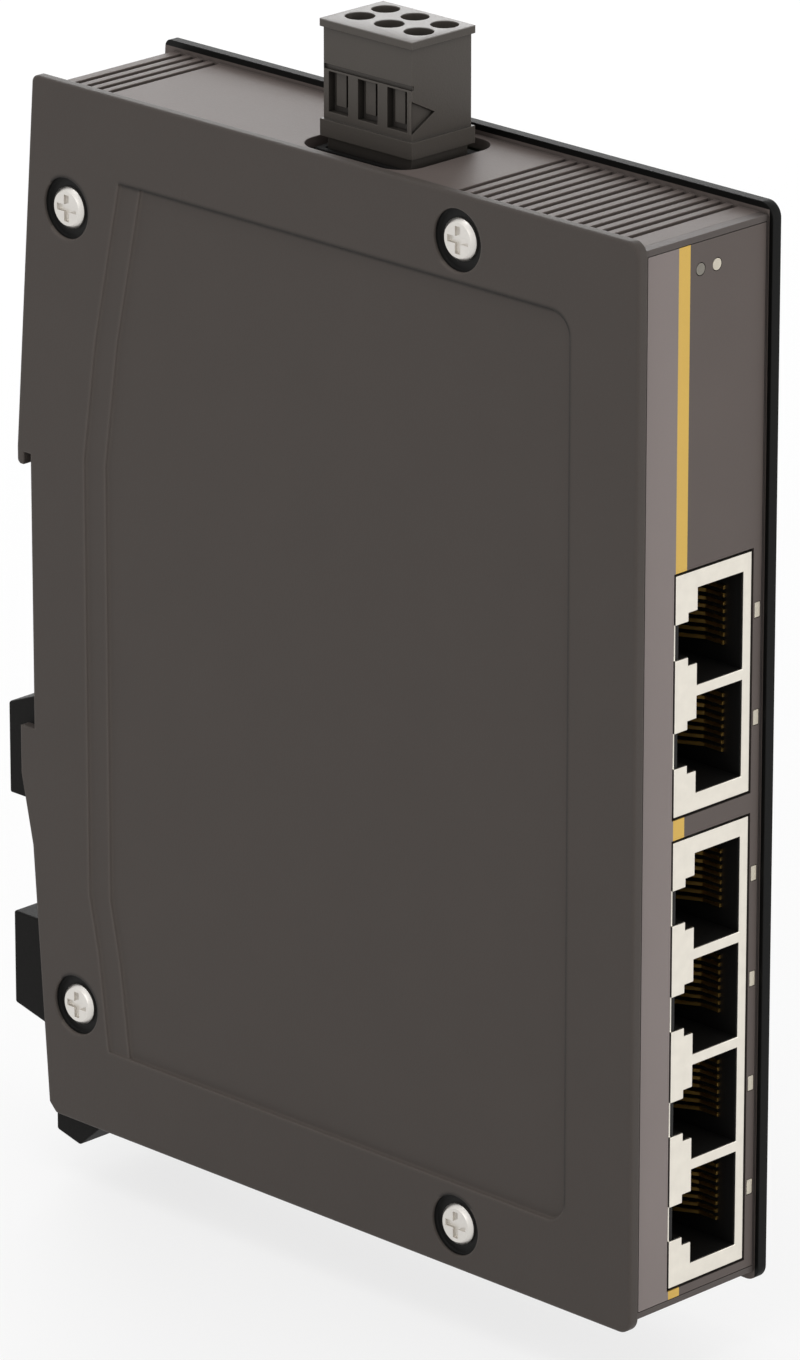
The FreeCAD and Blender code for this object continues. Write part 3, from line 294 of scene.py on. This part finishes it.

# plug: its top painted lighter as a sheen, the line over the windows and the hollow at the front
PLUG_LOW, PLUG_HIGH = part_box("plug_body")
PLUG_TOP_SKIN = 0.12 * MM
PLUG_SIDE_SKIN = 0.45 * MM
FACING = 0.9
LINE_LOW = 76.55 * MM
LINE_HIGH = 77.2 * MM
LINE_DEPTH_MM = 0.35
HOLLOW_SIDE = PLUG_LOW.x + 0.35 * MM
HOLLOW_TOP = Vector((HOLLOW_SIDE, 0.0, 75.2 * MM))
HOLLOW_FOOT = Vector((HOLLOW_SIDE, 0.0, 71.0 * MM))
HOLLOW_TOP_SLOPE = Vector((0.50, 0.0, 1.0))
HOLLOW_FOOT_SLOPE = Vector((-0.55, 0.0, 1.0))
HOLLOW_DEPTH_MM = 0.45


# ----------------------------------------------------------------- finishes

def grained(finish, grain_mm=GRAIN_MM):
    """The surface's fine grain, and its mix with wide faint clouds."""
    fine = finish.noise(grain_mm, roughness=0.6)
    clouds = finish.noise(CLOUD_MM, detail=3.0)
    return fine, clouds * CLOUD_SHARE + fine * (1.0 - CLOUD_SHARE)


def uneven(rough, fine, swing=ROUGH_SWING):
    return rough + (fine - 0.5) * swing


def clouded(finish, base, shade, contrast):
    return finish.blend(shade, scaled(base, 1.0 - contrast), scaled(base, 1.0 + contrast))


def coat_colour(finish, base, shade, contrast=0.10, gap_mm=1.2, wear_and_highlight_mm=0.25, wear=0.35):
    """Clouded colour, with shade painted darker in gaps, and edges a little lighter as wear and painted highlight.
    """
    rubbed_and_lit = finish.blend(finish.edge_wear_and_highlight(wear_and_highlight_mm) * wear,
                          clouded(finish, base, shade, contrast), scaled(base, WORN_AND_LIT_FACTOR))
    # painted shade: darker in gaps and corners, as far as the surface is closed in
    return finish.blend(finish.openness(gap_mm), scaled(base, GAP_SHADE_FACTOR), rubbed_and_lit)


def moulded(name, base, rough=0.55, specular=0.25):
    """Moulded or powder-coated surface: fine eroded grain and faint clouds."""
    finish = Finish(name, Specular_IOR_Level=specular)
    fine, shade = grained(finish)
    finish.paint(Base_Color=coat_colour(finish, base, shade), Roughness=uneven(rough, fine))
    finish.relief(fine, GRAIN_DEPTH_MM, EDGE_MM)
    return finish


def case_coat():
    """Satin coat on the walls, textured coat on the plate beside them, black plate rim."""
    finish = Finish("case_coat", Specular_IOR_Level=0.13)
    across, back, up = finish.axes()
    plate = across > PLATE_START
    rim = (across > 0.0) * finish.clamped((back < PLATE_RIM_FRONT) + (up > PLATE_RIM_TOP))
    fine, shade = grained(finish)
    wall_tint = coat_colour(finish, WALL_GREY, shade, contrast=0.06, gap_mm=0.6, wear_and_highlight_mm=0.2,
                            wear=0.2)
    plate_tint = coat_colour(finish, COVER_GREY, shade)
    rim_tint = coat_colour(finish, RIM_BLACK, shade, gap_mm=1.0, wear=0.0)
    finish.paint(
        Base_Color=finish.blend(rim, finish.blend(plate, wall_tint, plate_tint), rim_tint),
        Roughness=uneven(0.5 + plate * 0.08, fine, swing=0.12))
    finish.relief(fine, 0.014, EDGE_MM)
    return finish


def cover_coat():
    """Textured coat with shade painted black into the seat round each screw, and light and shade painted along the
    panel's shallow steps.
    """
    finish = Finish("cover_coat", Specular_IOR_Level=0.2)
    across, back, up = finish.axes()
    fine, shade = grained(finish)
    # edges lighter: partly wear, partly painted highlight
    worn_and_lit = finish.blend(finish.edge_wear_and_highlight(radius_mm=0.4) * 0.7,
                        clouded(finish, COVER_GREY, shade, contrast=0.10),
                        scaled(COVER_GREY, WORN_AND_LIT_FACTOR))
    panel = inside(back, PANEL_Y) * inside(up, PANEL_Z)
    # painted shade in the gaps and corners round the panel, none inside it
    tint = finish.blend(finish.clamped(finish.openness(reach_mm=0.4) + panel),
                        scaled(COVER_GREY, GAP_SHADE_FACTOR), worn_and_lit)
    # painted light and shade: the panel's steps lighter where they face up and to the front, darker where they
    # face to the back
    lit, shady = step_light(finish)
    tint = finish.blend(lit * panel, tint, scaled(COVER_GREY, STEP_LIT_FACTOR))
    tint = finish.blend(shady * panel, tint, scaled(COVER_GREY, STEP_SHADY_FACTOR))
    # painted shade: black within each screw's seat
    seats = screw_seats(back, up) * (across > SEAT_DEPTH)
    finish.paint(Base_Color=finish.blend(seats, tint, SEAT_SHADE_BLACK), Roughness=uneven(0.55, fine))
    finish.relief(fine, GRAIN_DEPTH_MM, edge_mm=0.5)
    return finish


def inside(value, limits):
    return (value > limits[0]) * (value < limits[1])


def step_light(finish):
    """How far a shallow step faces the light, and how far it faces away."""
    back, up = finish.split(finish.eased_normal(STEP_REACH_MM, samples=8))[1:]
    return finish.clamped(up - back * 2.2), finish.clamped(back * 1.5 - up * 3.0)


def screw_seats(back, up):
    """1 within a seat's radius of each cover screw."""
    seats = 0.0
    for y, z in SCREW_PLACES:
        off_y = back - y
        off_z = up - z
        seats = seats + ((off_y * off_y + off_z * off_z) < SEAT_RADIUS ** 2)
    return seats


def printed_label():
    """Front film: a light band, a yellow stripe and a dark field, all printed matt."""
    finish = Finish("front_print", Specular_IOR_Level=0.25)
    fine = finish.noise(0.3)
    shade = finish.noise(14.0) * 0.7 + fine * 0.3
    across = finish.axes()[0] + (finish.noise(0.25) - 0.5) * STRIPE_WANDER
    band, stripe, field = [
        finish.blend(shade, scaled(base, dark), scaled(base, light))
        for base, dark, light in ((BAND_MAUVE, 0.92, 1.06), (STRIPE_YELLOW, 0.90, 1.05),
                                  (FIELD_GREY, 0.90, 1.08))]
    printed = finish.blend(across > STRIPE_END,
                           finish.blend(across > STRIPE_START, band, stripe), field)
    # painted shade: the print darkens in gaps and corners
    finish.paint(
        Base_Color=finish.blend(finish.openness(reach_mm=0.8), scaled(FIELD_GREY, 0.15), printed),
        Roughness=0.42 + fine * 0.12)
    finish.relief(fine, FINE_DEPTH_MM, FINE_EDGE_MM)
    return finish


def plated(name, base):
    """Plated sheet metal with faint stains and drawing marks."""
    finish = Finish(name, Metallic=1.0)
    stain = finish.noise(1.6, detail=3.0)
    marks = finish.noise(0.5)
    finish.paint(Base_Color=finish.blend(stain, scaled(base, 0.86), base),
                 Roughness=0.28 + stain * 0.12)
    finish.relief(marks, FINE_DEPTH_MM, FINE_EDGE_MM)
    return finish


def light_guide():
    """Cream clear plastic; the first of the two status lights is dimmer."""
    finish = Finish("clear_plastic", Transmission_Weight=0.3, IOR=1.58)
    place = finish.axes()
    cloud = finish.noise(0.8)
    first = (place[0] < LENS_MIDDLE) * (place[2] > LENS_FOOT)
    tint = finish.blend(cloud, scaled(LENS_CREAM, 0.9), LENS_CREAM)
    finish.paint(Base_Color=finish.blend(first, tint, scaled(LENS_CREAM, 0.3)),
                 Roughness=0.18 + cloud * 0.1)
    finish.relief(cloud, 0.004)
    return finish


def plug_plastic():
    """Dark glass-filled plastic, with a painted sheen making its top lighter."""
    finish = Finish("plug_plastic", Specular_IOR_Level=0.25)
    fine, shade = grained(finish, grain_mm=0.25)
    side = coat_colour(finish, PLUG_GREY, shade, gap_mm=2.2)
    # painted sheen: the top face coloured lighter than the sides
    top = coat_colour(finish, PLUG_TOP_SHEEN_GREY, shade, contrast=0.06, gap_mm=0.3, wear=0.2)
    upper = finish.axes()[2] > PLUG_HIGH.z - PLUG_TOP_SKIN
    finish.paint(Base_Color=finish.blend(upper, side, top), Roughness=uneven(0.42, fine))
    finish.relief(fine, GRAIN_DEPTH_MM, EDGE_MM)
    return finish


FINISHES = {
    "case": case_coat(),
    "cover": cover_coat(),
    "front": moulded("front_coat", colour(84, 77, 74)),
    "label": printed_label(),
    "screw_zinc": plated("zinc_plate", colour(226, 222, 216)),
    "shield": plated("nickel_plate", colour(238, 232, 220)),
    "insulator": moulded("black_nylon", colour(20, 19, 18), rough=0.5),
    "gold_contact": plated("gold_plate", colour(226, 180, 96)),
    "tin_pin": plated("tin_plate", colour(205, 205, 200)),
    "plug_black": plug_plastic(),
    "clear_guide": light_guide(),
    "led_body": moulded("led_ceramic", colour(230, 225, 205)),
    "board_green": moulded("solder_mask", colour(30, 90, 55), rough=0.35),
    "chip_black": moulded("chip_resin", colour(38, 38, 40)),
    "can_metal": plated("can_skin", colour(200, 202, 204)),
    "sink_black": moulded("black_anodise", colour(40, 40, 42), rough=0.4),
    "fuse_white": moulded("fuse_ceramic", colour(220, 216, 206), rough=0.3),
    "absorber_blue": moulded("blue_lacquer", colour(40, 82, 150), rough=0.3),
    "film_clear": moulded("film_skin", colour(205, 205, 198), rough=0.3),
    "latch_black": moulded("latch_plastic", colour(19, 18, 17), rough=0.6, specular=0.1),
    "spring_steel": plated("spring_wire", colour(170, 170, 170)),
}
# painted shade: the header is made near black and dull
HEADER_SHADE_BLACK = moulded("header_plastic", colour(20, 19, 18), rough=0.8, specular=0.08)

SLOTS = {part["node"]: part["material_slot"] for part in frame["record"]["subparts"]}
BODIES = {node: body for body, nodes in frame["record"]["behaviour"]["bodies"].items()
          for node in nodes}


def wear(piece, slot):
    piece.data.materials.clear()
    piece.data.materials.append(FINISHES[slot].material)


def dress_frame():
    """Every carried-over part takes the finish of its own slot."""
    for node, slot in SLOTS.items():
        wear(NODES[node], slot)


def darken_header(piece):
    """The header is duller and blacker than the plug that it takes: painted shade for the dark opening round the
    plug.
    """
    piece.data.materials[0] = HEADER_SHADE_BLACK.material


# ------------------------------------------------------------------- pieces

MERGE_DISTANCE = 0.002 * MM
FLAT_ANGLE = math.radians(0.6)
EASE_ANGLE = math.radians(32)
EASE_SEGMENTS = 2
SMOOTH_ANGLE = math.radians(38)
PLUG_SMOOTH_ANGLE = math.radians(20)
COIL_SMOOTH_ANGLE = math.radians(50)
FLAT_FACE_WEIGHT = 90
COIL_TURNS = 7
COIL_STEPS = 28
WIRE_SIDES = 12
WIRE_SHARE = 0.09

# how far each part's edges are rounded, in millimetres
EASED = {
    "side_cover": 0.15,
    "housing_shell": 0.2,
    "front_panel": 0.1,
    "plug_body": 0.18,
    "power_header": 0.15,
    "rail_latch": 0.3,
    "jack_shield_double": 0.08,
    "jack_shield_quad": 0.08,
    "cover_screws": 0.12,
    "plug_screws": 0.1,
}


def only(piece):
    """Leaves this piece alone selected and active."""
    bpy.ops.object.select_all(action="DESELECT")
    piece.select_set(True)
    bpy.context.view_layer.objects.active = piece


def apply_modifiers(piece):
    only(piece)
    for modifier in list(piece.modifiers):
        bpy.ops.object.modifier_apply(modifier=modifier.name)


def merge_doubles():
    """Joins the points that share a place, over the whole mesh being edited."""
    bpy.ops.mesh.select_all(action="SELECT")
    bpy.ops.mesh.remove_doubles(threshold=MERGE_DISTANCE)


def even_shading(piece):
    """Smooth over the eased edges, with the large faces kept flat."""
    only(piece)
    bpy.ops.object.shade_smooth_by_angle(angle=SMOOTH_ANGLE)
    even = piece.modifiers.new("even", "WEIGHTED_NORMAL")
    even.keep_sharp = True
    even.weight = FLAT_FACE_WEIGHT
    apply_modifiers(piece)


def belongs(piece, node):
    """The piece moves with the part it stands for, in that part's finish."""
    wear(piece, SLOTS[node])
    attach(piece, BODIES[node])


def rounded(node, width_mm):
    """A copy of a carried-over part with its sharp edges really rounded."""
    piece = bpy.data.objects.new(f"{node}_eased", NODES[node].data.copy())
    bpy.context.scene.collection.objects.link(piece)
    only(piece)
    bpy.ops.object.mode_set(mode="EDIT")
    merge_doubles()
    bpy.ops.mesh.dissolve_limited(angle_limit=FLAT_ANGLE)
    bpy.ops.object.mode_set(mode="OBJECT")
    ease = piece.modifiers.new("ease", "BEVEL")
    ease.width = width_mm * MM
    ease.segments = EASE_SEGMENTS
    ease.limit_method = "ANGLE"
    ease.angle_limit = EASE_ANGLE
    ease.use_clamp_overlap = True
    apply_modifiers(piece)
    even_shading(piece)
    belongs(piece, node)
    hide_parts(node)
    return piece


def select_faces(piece, test):
    """Selects the faces whose centre and direction pass the test, and nothing else."""
    bpy.ops.mesh.select_all(action="DESELECT")
    bpy.ops.object.mode_set(mode="OBJECT")
    for polygon in piece.data.polygons:
        polygon.select = bool(test(polygon.center, polygon.normal))
    bpy.ops.object.mode_set(mode="EDIT")


def sink(piece, side, cuts, region, depth_mm):
    """Cuts one side along the planes, then sinks its region with upright walls."""
    only(piece)
    bpy.ops.object.mode_set(mode="EDIT")
    bpy.ops.mesh.select_mode(type="FACE")
    for point, slope in cuts:
        select_faces(piece, side)
        bpy.ops.mesh.bisect(plane_co=point, plane_no=slope)
    select_faces(piece, lambda centre, facing: side(centre, facing) and region(centre))
    bpy.ops.mesh.extrude_region_shrink_fatten(
        TRANSFORM_OT_shrink_fatten={"value": -depth_mm * MM})
    bpy.ops.object.mode_set(mode="OBJECT")


def window_side(centre, facing):
    return facing.x < -FACING and centre.x < PLUG_LOW.x + PLUG_SIDE_SKIN


def front_side(centre, facing):
    at_front = facing.y < -FACING and centre.y < PLUG_LOW.y + PLUG_SIDE_SKIN
    return at_front and centre.z < LINE_LOW


def in_line(centre):
    return LINE_LOW < centre.z < LINE_HIGH


def in_hollow(centre):
    under_top = (centre - HOLLOW_TOP).dot(HOLLOW_TOP_SLOPE) < 0.0
    over_foot = (centre - HOLLOW_FOOT).dot(HOLLOW_FOOT_SLOPE) > 0.0
    return under_top and over_foot


def detail_plug(plug):
    """A shadow line over the windows and a three-cornered hollow at the front."""
    level = (0.0, 0.0, 1.0)
    line = [((0.0, 0.0, LINE_LOW), level), ((0.0, 0.0, LINE_HIGH), level)]
    hollow = [(HOLLOW_TOP, HOLLOW_TOP_SLOPE), (HOLLOW_FOOT, HOLLOW_FOOT_SLOPE)]
    sink(plug, window_side, line, in_line, LINE_DEPTH_MM)
    sink(plug, front_side, hollow, in_hollow, HOLLOW_DEPTH_MM)
    bpy.ops.mesh.customdata_custom_splitnormals_clear()
    bpy.ops.object.shade_smooth_by_angle(angle=PLUG_SMOOTH_ANGLE)


def latch_travel():
    """How far the rail latch drops, in metres."""
    joints = {joint["name"]: joint for joint in frame["joints"]}
    return joints["latch_slide"]["range_m"][1]


def wound_wire(wire, radius, length, foot):
    """Round wire wound up from its foot as a screw of this length, with closed ends."""
    bpy.ops.object.select_all(action="DESELECT")
    bpy.ops.mesh.primitive_circle_add(vertices=WIRE_SIDES, radius=wire,
                                      rotation=(math.pi / 2, 0.0, 0.0),
                                      location=(radius, 0.0, wire))
    coil = bpy.context.object
    coil.name = "latch_coil"
    bpy.ops.object.transform_apply(location=True, rotation=True, scale=True)
    wind = coil.modifiers.new("wind", "SCREW")
    wind.axis = "Z"
    wind.angle = math.tau
    wind.iterations = COIL_TURNS
    wind.steps = wind.render_steps = COIL_STEPS
    wind.screw_offset = (length - wire * 2) / COIL_TURNS
    wind.use_merge_vertices = False
    apply_modifiers(coil)
    bpy.ops.object.mode_set(mode="EDIT")
    merge_doubles()
    bpy.ops.mesh.select_mode(type="EDGE")
    bpy.ops.mesh.select_all(action="DESELECT")
    bpy.ops.mesh.select_non_manifold()
    bpy.ops.mesh.fill()
    bpy.ops.mesh.select_all(action="SELECT")
    bpy.ops.mesh.normals_make_consistent(inside=False)
    bpy.ops.transform.translate(value=foot)
    bpy.ops.object.mode_set(mode="OBJECT")
    bpy.ops.object.shade_smooth_by_angle(angle=COIL_SMOOTH_ANGLE)
    return coil


def round_spring():
    """Coil of round wire between the post and the latch."""
    low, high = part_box("latch_spring")
    width = high.x - low.x
    length = high.z - low.z
    wire = width * WIRE_SHARE
    foot = ((low.x + high.x) / 2, (low.y + high.y) / 2, low.z)
    coil = wound_wire(wire, width / 2 - wire, length, foot)
    belongs(coil, "latch_spring")
    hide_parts("latch_spring")
    travel = latch_travel()
    (length - travel) / length
    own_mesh(coil)


# ------------------------------------------------------------- surroundings

SKY_LIGHT = 0.48
FLOOR_SIZE = 12.0
FLOOR_GAP = 0.1 * MM
FLOOR_GLOW = 0.75
FLOOR_CLOUD_MM = 60.0
FLOOR_DARK = (0.90, 0.90, 0.90, 1.0)
FLOOR_LIGHT = (0.93, 0.93, 0.93, 1.0)

# name, place from the switch's middle and diameter in metres, power in watts
LAMPS = (
    ("back_panel", (0.75, 0.95, 0.50), 0.9, 6.0),
    ("overhead", (-0.2, 0.1, 1.2), 0.8, 3.4),
    ("front_fill", (0.3, -1.3, 0.3), 0.9, 5.0),
    ("side_fill", (-1.4, -0.1, 0.4), 1.0, 3.0),
)

CAMERA_TURN = math.radians(-45.418)
CAMERA_RISE = math.radians(19.682)
CAMERA_REACH = 1.145
CAMERA_AIM = Vector((-0.00013, -0.05426, -0.00224))
CAMERA_LENS_MM = 240.99
CAMERA_NEAREST = 0.01
CAMERA_FARTHEST = 50.0


def light_sky():
    """Even white sky that lights things about half as brightly as it shows."""
    world = bpy.data.worlds.new("sky")
    bpy.context.scene.world = world
    world.use_nodes = True
    nodes = Nodes(world.node_tree)
    background = world.node_tree.nodes["Background"]
    nodes.feed(background.inputs["Color"], WHITE)
    nodes.feed(background.inputs["Strength"], SKY_LIGHT + nodes.shown() * (1.0 - SKY_LIGHT))


def lay_floor():
    """Pale floor just under the lowest reach of the latch, which glows into the sky."""
    lowest = CAD_BOX[0].z - latch_travel()
    bpy.ops.object.select_all(action="DESELECT")
    bpy.ops.mesh.primitive_plane_add(size=FLOOR_SIZE, location=(0.0, 0.0, lowest - FLOOR_GAP))
    floor = bpy.context.object
    floor.name = "floor"
    finish = Finish("floor_paint")
    cloud = finish.noise(FLOOR_CLOUD_MM)
    finish.paint(Base_Color=finish.blend(cloud, FLOOR_DARK, FLOOR_LIGHT),
                 Roughness=0.6 + cloud * 0.1)
    glow = finish.add("ShaderNodeEmission", {}, {"Color": WHITE, "Strength": 1.0})
    painted = Value(finish, finish.shader.outputs[0])
    mixed = finish.add("ShaderNodeMixShader", {},
                       {0: finish.shown() * FLOOR_GLOW, 1: painted, 2: glow})
    finish.feed(finish.tree.nodes["Material Output"].inputs["Surface"], mixed)
    floor.data.materials.append(finish.material)


def hang_lamps():
    """Four soft round lamps, all turned to the middle of the switch."""
    middle = (CAD_BOX[0] + CAD_BOX[1]) / 2
    for name, place, size, power in LAMPS:
        light = bpy.data.lights.new(name, "AREA")
        light.shape = "DISK"
        light.size = size
        light.energy = power
        lamp = bpy.data.objects.new(name, light)
        bpy.context.scene.collection.objects.link(lamp)
        lamp.location = middle + Vector(place)
        lamp.rotation_euler = (-Vector(place)).to_track_quat("-Z", "Y").to_euler()
        lamp.visible_camera = False


def set_camera():
    """A long lens above the front corner, looking down the screwed side."""
    back = Vector((math.sin(CAMERA_TURN) * math.cos(CAMERA_RISE),
                   -math.cos(CAMERA_TURN) * math.cos(CAMERA_RISE), math.sin(CAMERA_RISE)))
    lens = bpy.data.cameras.new("camera")
    lens.lens = CAMERA_LENS_MM
    lens.clip_start = CAMERA_NEAREST
    lens.clip_end = CAMERA_FARTHEST
    view = bpy.data.objects.new("camera", lens)
    bpy.context.scene.collection.objects.link(view)
    view.location = CAMERA_AIM + back * CAMERA_REACH
    view.rotation_euler = (math.pi / 2 - CAMERA_RISE, 0.0, CAMERA_TURN)
    bpy.context.scene.camera = view


dress_frame()
eased = {node: rounded(node, width) for node, width in EASED.items()}
darken_header(eased["power_header"])
detail_plug(eased["plug_body"])
round_spring()

bpy.context.scene.view_settings.view_transform = "Standard"
light_sky()
lay_floor()
hang_lamps()
set_camera()
